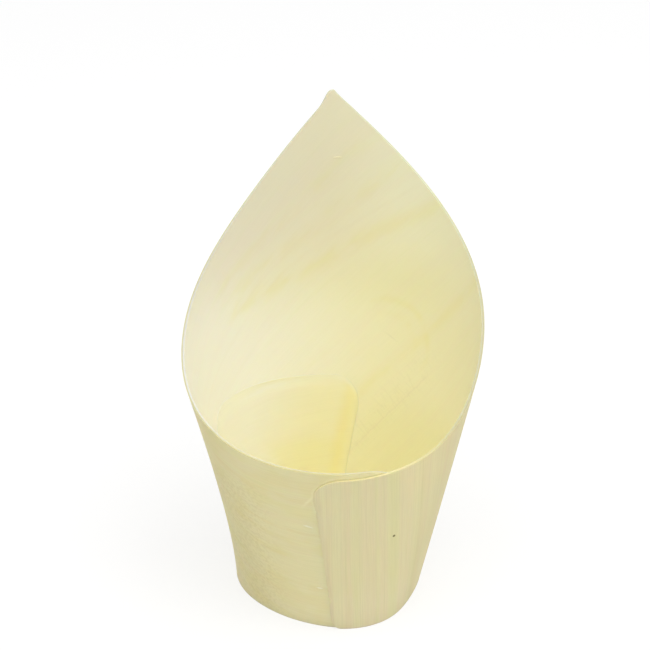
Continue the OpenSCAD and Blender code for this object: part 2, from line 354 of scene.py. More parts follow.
def seat_r(az, z):
    """Outer face of the bottom piece, clear of the wall and of the lap."""
    front = np.abs((az % 360) - 180)
    room = HALF_STEP * smooth(1 - np.maximum(0, front - LAP_HALF) / LAP_RAMP)
    return wall_r(az, z) - LEVEL_VENEER - SEAT_GAP - room


def foot_lean(az):
    """Slope of the wall just above the table, in degrees off upright."""
    return np.degrees(np.arctan((seat_r(az, BEND_R) - seat_r(az, 0)) / BEND_R))


def bend_centre(az):
    """Radius at which the floor ends and its bend starts."""
    return seat_r(az, 0) + BEND_R * (sind(foot_lean(az)) - 1) / cosd(foot_lean(az))


def pared(to_edge):
    """Thickness of the bottom piece at a distance from an edge of a leg."""
    return BOTTOM_T * (THIN_SHARE + (1 - THIN_SHARE) * smooth(to_edge / THIN_WIDTH))


def leg_shares():
    """Places of a leg's columns across it, from -1 to 1, closer together at its round corners."""
    side = LEG_CORNER_R / LEG_R * DEG / (LEG_SPAN / 2)
    half = np.concatenate([
        1 - side * (1 - cosd(np.linspace(0, 90, CORNER_STEPS + 1))),
        (1 - side) * (1 - np.linspace(0, 1, LEG_STEPS // 2 + 1)[1:])])
    return np.concatenate([-half, half[-2::-1]])


def insert_azimuths(share):
    """Columns all the way round, at the floor: a leg, a gap, the other leg and a gap."""
    gap_share = np.linspace(0, 1, GAP_STEPS + 1)[1:-1]
    gap_span = 180 - LEG_FOOT_SPAN
    one = np.concatenate([share * LEG_FOOT_SPAN / 2, LEG_FOOT_SPAN / 2 + gap_share * gap_span])
    return np.concatenate([LEG_AZ + one, LEG_AZ + 180 + one])


class InsertPoints:
    """Points of the bottom piece, each with its tilt, its thickness and its marks."""

    def __init__(self):
        self.paths, self.tilts, self.thicknesses = [], [], []
        self.flats, self.places = [], []

    def put(self, az, r, z, tilt, flat_place, from_right=MIDDLE, from_rim=MIDDLE, thick=BOTTOM_T):
        """Adds a row or grid of points and gives their numbers."""
        shape = np.broadcast(az, r, z, tilt).shape
        first = sum(len(path) for path in self.paths)
        self.paths.append(self.columns(shape, az, r, z))
        self.tilts.append(self.columns(shape, tilt)[:, 0])
        self.thicknesses.append(self.columns(shape, thick)[:, 0])
        self.flats.append(np.broadcast_to(flat_place, shape + (2,)).reshape(-1, 2))
        self.places.append(self.columns(shape, from_right, from_rim))
        return first + np.arange(int(np.prod(shape))).reshape(shape)

    @staticmethod
    def columns(shape, *values):
        return np.column_stack([np.broadcast_to(value, shape).ravel() for value in values])

    def points(self):
        """The lower face's points, and then the upper face's, one thickness inside them."""
        az, r, z = np.concatenate(self.paths).astype(float).T
        tilt, thick = np.concatenate(self.tilts), np.concatenate(self.thicknesses)
        low = at(az, r, z)
        high = at(az, r - thick * sind(tilt), z + thick * cosd(tilt))
        return np.concatenate([low, high])

    def marks(self):
        flat, place = np.concatenate(self.flats), np.concatenate(self.places)
        none = np.zeros(len(flat))
        grain = np.column_stack([flat, none])
        outside, inside = np.column_stack([place, none]), np.column_stack([place, none + 1])
        return {"grain": np.concatenate([grain, grain]), "place": np.concatenate([outside, inside])}


def floor_place(az, r):
    """Place of a point of the floor on the flat strip."""
    return np.stack([r * sind(az - LEG_AZ), r * cosd(az - LEG_AZ)], axis=-1)


def put_floor(piece, az):
    steps = (np.arange(FLOOR_ROWS + 1) + 1) / (FLOOR_ROWS + 1)
    r = bend_centre(az)[:, None] * steps[None, :]
    return piece.put(az[:, None], r, 0, 0, floor_place(az[:, None], r))


def put_gap(piece, az, floor_end):
    """The floor's edge between two legs, where it goes on level to the wall."""
    r = seat_r(az, 0)
    edge = piece.put(az, r, 0, 0, floor_place(az, r))
    return np.stack([floor_end, edge], axis=1)


def put_bend(piece, az, share, part):
    """The bend between the floor and a leg."""
    way = 1 - 2 * part
    up = np.linspace(0, 1, BEND_ROWS + 1)[None, 1:]
    turn = (90 - foot_lean(az)) * up
    r = bend_centre(az) + BEND_R * sind(turn)
    half_width = LEG_FOOT_SPAN / 2 / DEG * r
    along = bend_centre(az) + BEND_R * turn / DEG
    flat_place = np.stack([way * share * half_width, way * along], axis=-1)
    thick = BOTTOM_T * (1 - up) + pared((1 - np.abs(share)) * half_width) * up
    from_right, from_left = (1 - way * share) * half_width, (1 + way * share) * half_width
    height = BEND_R * (1 - cosd(turn))
    return piece.put(az, r, height, turn, flat_place, from_right, from_left, thick)


def put_climb(piece, foot_az, share, part):
    """A leg from its bend up to its edge. It widens evenly and has round corners."""
    way = 1 - 2 * part
    lean = foot_lean(foot_az)
    low = BEND_R * (1 - sind(lean))
    top = LEG_H - corner_cut((1 - np.abs(share)) * LEG_SPAN / 2 / DEG * LEG_R, LEG_CORNER_R)
    climb = np.linspace(0, 1, LEG_ROWS + 1)[None, 1:]
    z = low + (top - low) * climb
    spread = (z - low) / (LEG_H - low)
    half_span = (LEG_FOOT_SPAN * (1 - spread) + LEG_SPAN * spread) / 2
    az = LEG_AZ + 180 * part + share * half_span
    tilt = 90 - (foot_lean(az) * (1 - climb) + WALL_ANGLE * climb)
    half_width = half_span / DEG * seat_r(az, z)
    along = bend_centre(foot_az) + BEND_R * (90 - lean) / DEG + (z - low) / COS_WALL
    flat_place = np.stack([way * share * half_width, way * along], axis=-1)
    from_top = (top - z) / COS_WALL
    from_right, from_left = (1 - way * share) * half_width, (1 + way * share) * half_width
    thick = pared(np.minimum((1 - np.abs(share)) * half_width, from_top))
    from_rim = np.minimum(from_left, from_top)
    return piece.put(az, seat_r(az, z), z, tilt, flat_place, from_right, from_rim, thick)


def insert_faces(floor, middle, gaps, legs, total):
    """Faces of the bottom piece. A point of the upper face is numbered total above its twin."""

    def both(index):
        """The lower face of a grid and the upper one, the other way round."""
        return [grid_faces(index[::-1]), grid_faces(index + total)]

    def side(line):
        return grid_faces(np.stack([line, line + total]))

    ring = np.concatenate([floor, floor[:1]])
    quads = both(ring)
    for gap, leg in zip(gaps, legs):
        quads += both(gap) + both(leg)
        quads += [side(gap[:, 1]), side(leg[:, -1]), side(leg[0, ::-1]), side(leg[-1])]
        quads += [side(gap[0]), side(gap[-1, ::-1])]
    faces = np.concatenate(quads).tolist()
    for a, b in zip(ring[:-1, 0], ring[1:, 0]):
        faces.append([int(middle), int(b), int(a)])
        faces.append([int(middle + total), int(a + total), int(b + total)])
    return faces


def build_insert():
    piece = InsertPoints()
    share = leg_shares()
    foot_az = insert_azimuths(share)
    count = len(foot_az)
    floor = put_floor(piece, foot_az)
    middle = piece.put(np.zeros(1), np.zeros(1), 0, 0, np.zeros((1, 2)))[0]
    gaps, legs = [], []
    for part in (0, 1):
        first = part * count // 2
        leg = np.arange(first, first + len(share))
        gap = np.arange(leg[-1], first + count // 2 + 1) % count
        gaps.append(put_gap(piece, foot_az[gap], floor[gap, -1]))
        bend = put_bend(piece, foot_az[leg, None], share[:, None], part)
        climb = put_climb(piece, foot_az[leg, None], share[:, None], part)
        legs.append(np.concatenate([floor[leg, -1:], bend, climb], axis=1))
    points = piece.points()
    faces = insert_faces(floor, middle, gaps, legs, len(points) // 2)
    return mesh_piece("bottom", points, faces, piece.marks(), THIN_ARRIS)


class Graph:
    """Adds shader nodes. An input is a socket to link or a plain value to set."""

    def __init__(self, tree):
        self.tree = tree
        tree.nodes.clear()

    def add(self, kind, inputs, **settings):
        node = self.tree.nodes.new(kind)
        for name, value in settings.items():
            setattr(node, name, value)
        for key, value in inputs.items():
            if isinstance(value, bpy.types.NodeSocket):
                self.tree.links.new(value, node.inputs[key])
            else:
                node.inputs[key].default_value = value
        return node

    def math(self, operation, a, b=0.0):
        return self.add("ShaderNodeMath", {0: a, 1: b}, operation=operation).outputs[0]

    def times(self, *values):
        product = values[0]
        for value in values[1:]:
            product = self.math("MULTIPLY", product, value)
        return product

    def scaled(self, value, factor, plus=0.0):
        inputs = {0: value, 1: factor, 2: plus}
        return self.add("ShaderNodeMath", inputs, operation="MULTIPLY_ADD").outputs[0]

    def ramp(self, value, low, high, to_low=0.0, to_high=1.0):
        inputs = {"Value": value, "From Min": low, "From Max": high,
                  "To Min": to_low, "To Max": to_high}
        return self.add("ShaderNodeMapRange", inputs, interpolation_type="SMOOTHSTEP").outputs[0]

    def hill(self, value, centre, width):
        """1 at the centre, falling to either side like a bell."""
        off = self.scaled(value, 1 / width, -centre / width)
        return self.math("EXPONENT", self.scaled(self.math("MULTIPLY", off, off), -1.0))

    def distance(self, x, y, centre):
        off_x, off_y = self.scaled(x, 1.0, -centre[0]), self.scaled(y, 1.0, -centre[1])
        square = self.math("ADD", self.times(off_x, off_x), self.times(off_y, off_y))
        return self.math("SQRT", square)

    def one_less(self, value):
        return self.scaled(value, -1.0, 1.0)

    def line(self, value, rise, zero_at):
        """A straight line through zero at a place."""
        return self.scaled(value, rise, -rise * zero_at)

    def swing(self, noise, width):
        """Turns a noise into a shift to either side, this wide in all."""
        return self.scaled(noise, width, -width / 2)

    def line_noise(self, value, size, detail, seed):
        place = self.scaled(value, 1 / size, seed)
        inputs = {"W": place, "Scale": 1.0, "Detail": detail}
        return self.add("ShaderNodeTexNoise", inputs, noise_dimensions="1D").outputs[0]

    def noise(self, x, y, size_x, size_y, detail, seed):
        place = self.add("ShaderNodeCombineXYZ", {
            0: self.scaled(x, 1 / size_x, seed), 1: self.scaled(y, 1 / size_y), 2: seed}).outputs[0]
        inputs = {"Vector": place, "Scale": 1.0, "Detail": detail}
        return self.add("ShaderNodeTexNoise", inputs, noise_dimensions="3D").outputs[0]

    def stripes(self, value, figure):
        """Stripes: a line noise's settings, then its values where they start and are full."""
        *settings, start, full = figure
        return self.ramp(self.line_noise(value, *settings), start, full)

    def patches(self, x, y, figure, low=0.0):
        """Patches: a noise's settings, then its values where they start and are full."""
        *settings, start, full = figure
        return self.ramp(self.noise(x, y, *settings), start, full, low)

    def mix(self, factor, a, b):
        inputs = {0: factor, 6: a, 7: b}
        return self.add("ShaderNodeMix", inputs, data_type="RGBA").outputs[2]

    def tint(self, colour, factor, by):
        """Multiplies a colour by another one, as far as the factor says."""
        inputs = {0: factor, 6: colour, 7: by}
        return self.add("ShaderNodeMix", inputs, data_type="RGBA", blend_type="MULTIPLY").outputs[2]

    def marks(self, name):
        layer = self.add("ShaderNodeAttribute", {}, attribute_name=name)
        parts = self.add("ShaderNodeSeparateXYZ", {0: layer.outputs["Vector"]})
        return parts.outputs


# Colours of the bare veneer: outside, inside where it is palest, and inside on the right. The palest
# inside is partly painted light, washed out where the left wall is most lit
OUTSIDE = (0.90, 0.84, 0.53, 1)
INSIDE_PALE_LIT = (0.915, 0.895, 0.77, 1)
INSIDE_WARM = (0.865, 0.825, 0.53, 1)
BOTTOM_PALE = (0.925, 0.885, 0.71, 1)
BOTTOM_WARM = (0.92, 0.85, 0.52, 1)
# The leg takes the colour of the wall beside it at its top and left edges. At its right edge it is
# lightened, painted light that offsets the shade where the pared edge turns away from the lamps
TOP_EDGE = (0.945, 0.88, 0.565, 1)
LEFT_EDGE = (0.945, 0.90, 0.67, 1)
RIGHT_EDGE_LIGHT = (0.99, 0.88, 0.46, 1)
# What each kind of band or zone leaves of the bare colour
PINKISH = (1.0, 0.955, 1.0, 1)
GREENISH = (0.965, 0.985, 0.91, 1)
BROWN = (0.975, 0.945, 0.85, 1)
YELLOW = (0.98, 0.97, 0.82, 1)
ORANGE = (0.985, 0.935, 0.70, 1)
# A greyer tone and painted shade towards the peak, where less light reaches
PEAK_SHADE_GREY = (0.91, 0.93, 1.0, 1)
BEIGE = (0.93, 0.90, 0.84, 1)
# Painted contact shadow along the foot, where the sheet meets the table
FOOT_SHADOW = (0.95, 0.93, 0.97, 1)
ROUGH = (0.91, 0.90, 0.84, 1)
UPPER = (0.96, 0.96, 0.90, 1)
# Painted shade that darkens the outer sides towards the silhouette, where less light falls
SIDE_SHADE = (0.93, 0.925, 0.88, 1)
RIGHT_HAND = (1.0, 0.975, 0.965, 1)
SALLOW = (0.965, 0.965, 0.885, 1)
# Painted shade on the cut edge, which damps the highlight it catches from the lamps: at the back,
# left, right, in front, and on the layer that lies outside there
EDGE_BACK = (0.87, 0.93, 1.0, 1)
EDGE_LEFT = (0.77, 0.79, 0.87, 1)
EDGE_RIGHT = (0.69, 0.71, 0.76, 1)
EDGE_FRONT = (0.77, 0.76, 0.66, 1)
EDGE_LAP = (0.96, 0.93, 0.84, 1)
SHADE = (0.90, 0.90, 0.90, 1)
SLIVER_TONE = (0.93, 0.89, 0.62, 1)
STRIP = (0.975, 0.94, 0.97, 1)
# Painted light round the lap's corner, and the pale tone of a loose fibre with its highlight
LAP_LIGHT_AND_FIBRE = (0.93, 0.87, 0.54, 1)
# Painted shade in the furrows between the fibres
FURROW_SHADE = (0.955, 0.95, 0.93, 1)
SPECK = (0.20, 0.17, 0.06, 1)

# The veneer's surface: roughness, gloss, and the light that spreads in it, by colour and reach
ROUGHNESS = 0.62
SLIVER_ROUGHNESS = 0.6
GLOSS = 0.25
SPREAD = 0.3
SPREAD_COLOURS = (1.0, 0.75, 0.45)
SPREAD_REACH = 0.8
# The bump: its strength and height, the fibres' share against the hairs', and between which
# heights the furrows get painted shade
BUMP = 0.35
BUMP_H = 0.03
FIBRE_SHARE = 0.7
FURROW_H = (0.62, 0.40)
# How dark the painted shade in the furrows is outside and by how much less inside, and how dark
# on the bottom piece
FURROWS = 0.65
FURROWS_LESS = -0.35
BOTTOM_FURROWS = 0.3

# Noises: size along and across the grain, detail and seed
FIBRES = (9, 0.20, 3, 1.9)
HAIRS = (3, 0.09, 1, 7.7)
OUTER_WANDER = (22, 7, 2, 3.1)
INNER_WANDER = (20, 9, 2, 5.3)
BOTTOM_WANDER = (14, 6, 2, 5.6)
ROUGH_WANDER = (9, 6, 2, 13.7)
TORN_WANDER = (1.1, 3, 2, 1.2)
# Patches: the same, and then the noise's values where they start and where they are full
BAND_PATCHES = (14, 3, 1, 8.2, 0.35, 0.65)
LEFT_PATCHES = (6, 2.0, 2, 4.4, 0.42, 0.60)
BLOTCHES = (8, 5, 2, 12.3, 0.45, 0.62)
FINE_LINES = (3.5, 0.35, 2, 6.6, 0.50, 0.68)
MOTTLE = (0.75, 0.6, 3, 2.8, 0.42, 0.64)
BREAKS = (8, 2.8, 2, 9.9, 0.36, 0.58)
TICKS = (0.5, 2.2, 1, 3.3, 0.52, 0.64)
# Stripes: size across the grain, detail and seed, and the same two values
PINK_BANDS = (3.4, 1.5, 11.3, 0.54, 0.40)
GREEN_BANDS = (1.1, 2, 4.7, 0.50, 0.66)
DARK_STREAKS = (0.42, 1, 21.3, 0.48, 0.66)
LEFT_LINES = (2.4, 1, 15.1, 0.50, 0.68)

# Every pair from here on says where a zone starts and where it is full. AZ is an azimuth, Z a
# height, and ALONG a place along the grain. What a zone is on is said before each group.
# The cut edge's painted shade: its share of the way between the faces, its sides, and how far off
# the back
EDGE_SHARE = (0.0, 0.03)
EDGE_SIDES_AZ = (-10, 10)
EDGE_OFF_BACK_AZ = (20, 60)
EDGE_FRONT_AZ = (110, 145)
EDGE_LAP_AZ = (125, 168)
# The outer face: the side of the upright bands, the part above the foot, the painted shade on the
# sides, the mottled part, the strip past the cut end, the painted contact shadow along the foot
# and the speck
BESIDE_AZ = (60, 90)
UPPER_Z = (2, 14)
SIDE_SHADE_AZ = (146, 122)
ROUGH_BACK_AZ = (-86, -120)
ROUGH_FRONT_AZ = (-158, -138)
ROUGH_Z = (36, 31)
ROUGH_SWING_AZ = 60
STRIP_AZ = (-3.2, -1.8)
FOOT_SHADOW_Z = (0.5, 0.1)
SPECK_PLACE = (152.5, 22.8)
SPECK_R = (0.36, 0.18)
# Bands of the outer face beside the seam: place across the grain, half width, strength, tint
SEAM_BANDS = (
    (-3.7, 0.5, 0.5, PINKISH), (-5.4, 0.5, 0.4, GREENISH), (-7.6, 1.7, 0.55, PINKISH),
    (-12.4, 1.2, 0.9, GREENISH), (-15.7, 1.0, 0.65, PINKISH), (-19.0, 1.6, 0.6, GREENISH))
# The pale outline of the lap's corner, painted light where the cut edge is lit and over the shade
# of the crevice beside it: distance from the end, half width, and where it runs. The rim's slope
# there is taken over RIM_STEP degrees
OUTLINE_OFF = 0.25
OUTLINE_HALF_WIDTH = 0.4
OUTLINE_Z = (26, 33)
OUTLINE_AZ = (-150, -160)
RIM_STEP = 20
# A pale ribbon that goes on from the lap's corner, a loose fibre and its highlight painted on the
# face: its height at the peak's azimuth, its fall for each degree, half width, middle azimuth,
# half length and strength
RIBBON = (-62.7, 0.5625, 0.45, -169.8, 2.8, 0.9)
# The inner face: the pale left, partly painted light, above and below, the grey peak, partly painted
# shade, the beige peak, and the sallow belt, whose height comes with its half width, and the
# sallow lower right
PALE_AZ = (34, -50)
PALE_TOP_Z = (74, 50)
PALE_LOW_Z = (14, 26)
PEAK_SHADE_Z = (44, 74)
BEIGE_Z = (46, 62)
BEIGE_AZ = (28, -4)
BELT_Z, BELT_HALF_WIDTH = 51, 6.5
BELT_LEFT_AZ = (-60, -25)
BELT_RIGHT_AZ = (60, 25)
SALLOW_Z = (34, 22)
SALLOW_AZ = (-20, 10)
# Where the growth bands turn off the fibres: place across the grain and half width, from where
# along it, their slope and where they cross the fibres
DRIFT_ACROSS, DRIFT_HALF_WIDTH = -93, 14
DRIFT_ALONG = (60, 100)
DRIFT_SLOPE, DRIFT_CROSSING = 0.25, 85
# Yellow streaks of the inner face: place across the grain at STREAK_ALONG, slope, half width,
# strength
STREAK_ALONG = 90
STREAK_START_ALONG = (62, 70)
INNER_STREAKS = (
    (-104.3, 0.09, 1.4, 0.5), (-98.1, 0.20, 1.6, 0.6),
    (-91.5, 0.345, 1.7, 0.8), (-66.9, 0.03, 1.2, 0.6))
# Arcs of a growth figure, low on the right: centre along and across, where they show and how wide
# they are, and each one's radius and strength
ARC_CENTRE = (85, -71)
ARC_ALONG = (86, 91)
ARC_HALF_WIDTH = 0.7
ARCS = ((9.2, 0.6), (6.2, 0.3))
# Torn fibres low on the right, and the ticks beside them: place across the grain, half width,
# where they start and where they end along it, strength
TORN_LINE = (-60.3, 0.14, (57, 61), (90, 86), 0.35)
TICK_ROW = (-62, 3, (57, 63), (96, 86), 0.28)
# A short dark line above them: its height at an azimuth, its fall for each degree, half width,
# middle azimuth, half length and strength
DARK_LINE = (41, 21.5, 0.25, 0.10, 24.5, 2.6, 0.8)
# The bottom piece, in distances from the leg's right side and from its rim
PALE_FROM_RIGHT = (5, 26)
ORANGE_FROM_RIGHT = (4.8, 1.2)
YELLOW_FROM_RIM = (11, 15)
LEFTWARD_FROM_RIGHT = (18, 34)
RIM_FADE, RIM_FADE_MORE_LEFT = 1.2, 3.0
# Where the painted light on the leg's right edge starts and where it is full
SIDE_FADE_FROM_RIGHT = (3.2, 0.2)

# The studio, in metres and watts. Each lamp has a name, a place, a diameter and a power
WORLD_LEVEL = 0.45
LAMPS = (
    ("top", (0.04, -0.2, 0.70), 0.9, 2.4),
    ("right", (0.36, -0.12, 0.62), 0.8, 1.8),
    ("left", (-0.36, -0.12, 0.62), 0.8, 1.0))
WHITE = (1, 1, 1, 1)
# The floor: half its side, its colour for the object's light, and what the camera sees of it
FLOOR_HALF = 1.5
FLOOR_PALE = (0.8, 0.8, 0.8, 1)
FLOOR_DIM = (0.3, 0.3, 0.3, 1)
FLOOR_GLOW = 0.72
CLIP_START = 0.01


def new_graph(name):
    material = bpy.data.materials.new(name)
    material.use_nodes = True
    return material, Graph(material.node_tree)


def shade_edge(g, colour, az, side):
    """Paints shade on the cut edge, where the mark for the side lies between its two faces, to damp
    the highlight it catches.
    """
    edge = g.ramp(g.times(side, g.one_less(side)), *EDGE_SHARE)
    off_back = g.math("ABSOLUTE", az)
    side_tone = g.mix(g.ramp(az, *EDGE_SIDES_AZ), EDGE_LEFT, EDGE_RIGHT)
    tone = g.mix(g.ramp(off_back, *EDGE_OFF_BACK_AZ), EDGE_BACK, side_tone)
    tone = g.mix(g.ramp(off_back, *EDGE_FRONT_AZ), tone, EDGE_FRONT)
    tone = g.mix(g.ramp(az, *EDGE_LAP_AZ), tone, EDGE_LAP)
    return g.tint(colour, edge, tone)


def add_bands(g, colour, band, along, strength):
    """Broad growth bands, turning from pinkish to greenish across the grain."""
    pink = g.times(strength, g.stripes(band, PINK_BANDS))
    broken = g.patches(along, band, BAND_PATCHES, 0.3)
    green = g.times(strength, g.stripes(band, GREEN_BANDS), broken)
    return g.tint(g.tint(colour, pink, PINKISH), green, GREENISH)


def fibre_height(g, along, band):
    fibre, hair = g.noise(along, band, *FIBRES), g.noise(along, band, *HAIRS)
    return g.math("ADD", g.scaled(fibre, FIBRE_SHARE), g.scaled(hair, 1 - FIBRE_SHARE))


def lap_outline(g, colour, past_end, az, z):
    """Painted light: a pale line on the inner layer round the top corner of the outer layer, where
    the cut edge is lit, and a pale ribbon for a loose fibre and its highlight.
    """
    right = g.scaled(past_end, FRONT_R / DEG, 360 * FRONT_R / DEG + OUTER_CORNER_R)
    rise = (rim_z(180) - rim_z(180 - RIM_STEP)) / RIM_STEP
    rim = g.scaled(az, rise, rim_z(180) + 180 * rise)
    above = g.scaled(g.math("SUBTRACT", z, rim), 1.0, OUTER_CORNER_R)
    off = g.distance(g.math("MAXIMUM", right, 0.0), g.math("MAXIMUM", above, 0.0), (0, 0))
    outline = g.hill(off, OUTER_CORNER_R + OUTLINE_OFF, OUTLINE_HALF_WIDTH)
    near = g.times(outline, g.ramp(z, *OUTLINE_Z), g.ramp(az, *OUTLINE_AZ))
    height, fall, half_width, middle, half_length, strength = RIBBON
    line = g.hill(g.math("ADD", z, g.scaled(az, fall)), height, half_width)
    ribbon = g.times(line, g.hill(az, middle, half_length), strength)
    return g.mix(ribbon, g.mix(near, colour, LAP_LIGHT_AND_FIBRE), LAP_LIGHT_AND_FIBRE)


def upright_bands(g, colour, across, beside):
    """The bands and dark streaks that run up beside the seam."""
    for centre, width, strength, tone in SEAM_BANDS:
        colour = g.tint(colour, g.times(g.hill(across, centre, width), beside, strength), tone)
    return g.tint(colour, g.times(g.stripes(across, DARK_STREAKS), beside, 0.24), SHADE)


def left_figure(g, colour, along, across, band, left):
    """The inner end's side: brown lines that come and go along the grain, and blotches."""
    lines = g.times(g.stripes(band, LEFT_LINES), g.patches(along, band, LEFT_PATCHES), left, 0.5)
    colour = g.tint(colour, lines, BROWN)
    colour = g.tint(colour, g.times(g.patches(along, across, BLOTCHES), left, 0.45), YELLOW)
    return g.tint(colour, g.times(g.patches(along, band, FINE_LINES), left, 0.12), SHADE)


def rough_part(g, colour, along, across, az, z):
    """The mottled part of the left side. It fades out unevenly towards the back."""
    ragged_az = g.math("ADD", az, g.swing(g.noise(along, across, *ROUGH_WANDER), ROUGH_SWING_AZ))
    front = g.ramp(az, *ROUGH_FRONT_AZ)
    rough = g.times(g.ramp(ragged_az, *ROUGH_BACK_AZ), front, g.ramp(z, *ROUGH_Z))
    return g.tint(colour, g.times(rough, g.patches(along, across, MOTTLE), 0.7), ROUGH)


def outer_face(g, along, across, az, z):
    """Upright bands right of the seam; on the left, level bands and a rough, mottled part."""
    band = g.math("ADD", across, g.swing(g.noise(along, across, *OUTER_WANDER), 1.6))
    beside = g.ramp(az, *BESIDE_AZ)
    colour = g.tint(OUTSIDE, g.ramp(z, *UPPER_Z), UPPER)
    # Painted shade: the outer sides get darker towards the silhouette
    colour = g.tint(colour, g.ramp(g.math("ABSOLUTE", az), *SIDE_SHADE_AZ), SIDE_SHADE)
    colour = g.tint(colour, beside, RIGHT_HAND)
    colour = add_bands(g, colour, band, along, g.scaled(beside, 0.3, 0.3))
    colour = upright_bands(g, colour, across, beside)
    colour = left_figure(g, colour, along, across, band, g.one_less(beside))
    colour = rough_part(g, colour, along, across, az, z)
    # A strip beside the cut end, painted light round the lap's corner, a painted contact shadow
    # along the foot and a dark speck
    past_end = g.math("SUBTRACT", az, g.scaled(z, END_SLOPE, END_FOOT_AZ))
    colour = g.tint(colour, g.ramp(past_end, *STRIP_AZ, 0.0, 0.7), STRIP)
    colour = lap_outline(g, colour, past_end, az, z)
    colour = g.tint(colour, g.ramp(z, *FOOT_SHADOW_Z), FOOT_SHADOW)
    speck = g.distance(along, across, grain_of(*SPECK_PLACE))
    return g.mix(g.times(g.ramp(speck, *SPECK_R), beside), colour, SPECK)


def inner_zones(g, az, z):
    """Pale on the left, partly painted light where the wall is most lit, yellower on the right, and
    greyer towards the peak, partly painted shade.
    """
    high, low = g.ramp(z, *PALE_TOP_Z, 0.55), g.ramp(z, *PALE_LOW_Z, 0.5)
    # The pale left is partly painted light, washed out where the wall is most lit
    colour = g.mix(g.times(g.ramp(az, *PALE_AZ), high, low), INSIDE_WARM, INSIDE_PALE_LIT)
    # Painted shade, with a greyer tone, towards the peak
    colour = g.tint(colour, g.ramp(z, *PEAK_SHADE_Z), PEAK_SHADE_GREY)
    colour = g.tint(colour, g.times(g.ramp(z, *BEIGE_Z), g.ramp(az, *BEIGE_AZ)), BEIGE)
    belt = g.hill(z, BELT_Z, BELT_HALF_WIDTH)
    belt = g.times(belt, g.ramp(az, *BELT_LEFT_AZ), g.ramp(az, *BELT_RIGHT_AZ))
    colour = g.tint(colour, belt, SALLOW)
    return g.tint(colour, g.times(g.ramp(z, *SALLOW_Z), g.ramp(az, *SALLOW_AZ)), SALLOW)


def drifting_band(g, along, across, wander):
    """Place across the growth bands, which turn off the fibres on the upper back."""
    drift = g.hill(across, DRIFT_ACROSS, DRIFT_HALF_WIDTH)
    turned = g.line(along, DRIFT_SLOPE, DRIFT_CROSSING)
    drift = g.times(drift, g.ramp(along, *DRIFT_ALONG), turned)
    return g.math("SUBTRACT", g.math("ADD", across, g.swing(wander, 1.5)), drift)


def inner_streaks(g, colour, along, across, wander, broken):
    """A few yellow streaks that cross the fibres at a slant."""
    run = g.ramp(along, *STREAK_START_ALONG)
    for centre, slope, width, strength in INNER_STREAKS:
        line = g.math("SUBTRACT", across, g.line(along, slope, STREAK_ALONG))
        line = g.math("ADD", line, g.swing(wander, 1.2))
        colour = g.tint(colour, g.times(g.hill(line, centre, width), broken, run, strength), YELLOW)
    return colour


def growth_arcs(g, colour, along, across, wander, broken):
    reach = g.math("ADD", g.distance(along, across, ARC_CENTRE), g.swing(wander, 1.4))
    shown = g.ramp(along, *ARC_ALONG)
    for radius, strength in ARCS:
        arc = g.hill(reach, radius, ARC_HALF_WIDTH)
        colour = g.tint(colour, g.times(arc, shown, broken, strength), YELLOW)
    return colour


def run_of(g, across, along, place):
    """1 on a line along the grain, which fades in and out at its ends, times its strength."""
    centre, half_width, start, end, strength = place
    line = g.hill(across, centre, half_width)
    return g.times(line, g.ramp(along, *start), g.ramp(along, *end), strength)


def torn_fibres(g, colour, along, across):
    """A line of torn fibres low on the right, and ticks beside it."""
    uneven = g.math("ADD", across, g.swing(g.noise(along, across, *TORN_WANDER), 0.8))
    colour = g.tint(colour, run_of(g, uneven, along, TORN_LINE), SHADE)
    ticks = g.times(g.patches(along, across, TICKS), run_of(g, across, along, TICK_ROW))
    return g.tint(colour, ticks, SHADE)


def dark_line(g, colour, az, z):
    height, height_az, fall, half_width, middle, half_length, strength = DARK_LINE
    line = g.hill(g.math("ADD", z, g.line(az, fall, height_az)), height, half_width)
    return g.tint(colour, g.times(line, g.hill(az, middle, half_length), strength), SHADE)


def inner_face(g, along, across, az, z):
    """Zones of tone under growth bands, with yellow streaks and arcs, and torn fibres."""
    wander = g.noise(along, across, *INNER_WANDER)
    broken = g.patches(along, across, BREAKS, 0.2)
    colour = inner_zones(g, az, z)
    colour = add_bands(g, colour, drifting_band(g, along, across, wander), along, 0.25)
    colour = inner_streaks(g, colour, along, across, wander, broken)
    colour = growth_arcs(g, colour, along, across, wander, broken)
    colour = torn_fibres(g, colour, along, across)
    return dark_line(g, colour, az, z)


def finish_veneer(g, colour, height, furrows):
    """A matt surface that lets a little light in, with the fibres standing up slightly and painted
    shade in the furrows between them.
    """
    # Painted shade: the low furrows between the fibres get darker
    colour = g.tint(colour, g.times(g.ramp(height, *FURROW_H), furrows), FURROW_SHADE)
    bump = g.add("ShaderNodeBump", {"Strength": BUMP, "Distance": BUMP_H * MM, "Height": height})
    shader = g.add("ShaderNodeBsdfPrincipled", {
        "Base Color": colour, "Roughness": ROUGHNESS, "Specular IOR Level": GLOSS,
        "Subsurface Weight": SPREAD, "Subsurface Radius": SPREAD_COLOURS,
        "Subsurface Scale": SPREAD_REACH * MM, "Normal": bump.outputs[0]})
    g.add("ShaderNodeOutputMaterial", {"Surface": shader.outputs[0]})


def sheet_material():
    material, g = new_graph("veneer")
    along, across, _ = g.marks("grain")
    az, z, side = g.marks("place")
    outer = outer_face(g, along, across, az, z)
    inner = inner_face(g, along, across, az, z)
    within = g.ramp(side, 0.3, 0.7)
    # The cut edge gets painted shade that damps its highlight
    colour = shade_edge(g, g.mix(within, outer, inner), az, side)
    furrows = g.scaled(within, FURROWS_LESS, FURROWS)
    finish_veneer(g, colour, fibre_height(g, along, across), furrows)
    return material


